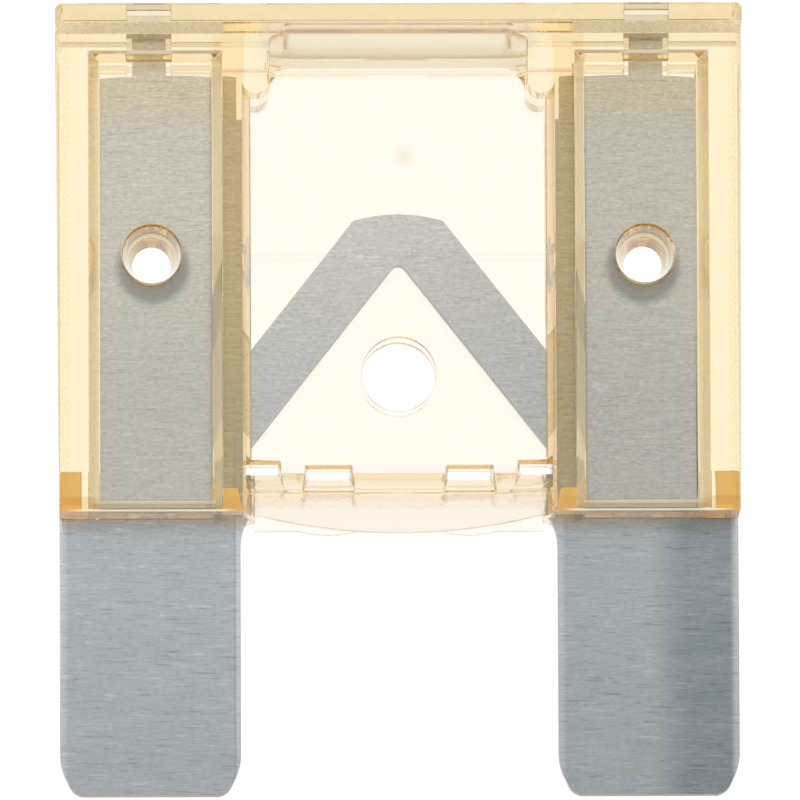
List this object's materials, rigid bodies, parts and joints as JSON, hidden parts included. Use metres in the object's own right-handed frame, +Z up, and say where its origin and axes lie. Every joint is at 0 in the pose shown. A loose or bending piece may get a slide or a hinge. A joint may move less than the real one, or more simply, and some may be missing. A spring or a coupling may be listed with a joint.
{
  "type": "automotive blade fuse",
  "caption": "Large plug-in blade fuse: clear amber moulded housing around a stamped metal strip whose blades are joined by an inverted V fusible link.",
  "frame": {"origin": "centre of the bounding box at the level of the surface the fuse lies on", "axes": "+X across the two blades, +Y from the blade tips to the cap, +Z up through the front face; the fuse lies on its back"},
  "size_m": [0.0296, 0.0338, 0.0089],
  "materials": {
    "housing_resin": "clear pale amber resin, injection moulded and glossy, with a finely roughened patch over the window",
    "strip_metal": "tin plated copper alloy, stamped, with fine rolling lines across the blades"
  },
  "bodies": {
    "root": {"housing": "housing_resin", "fuse_strip": "strip_metal"}
  },
  "joints": []
}
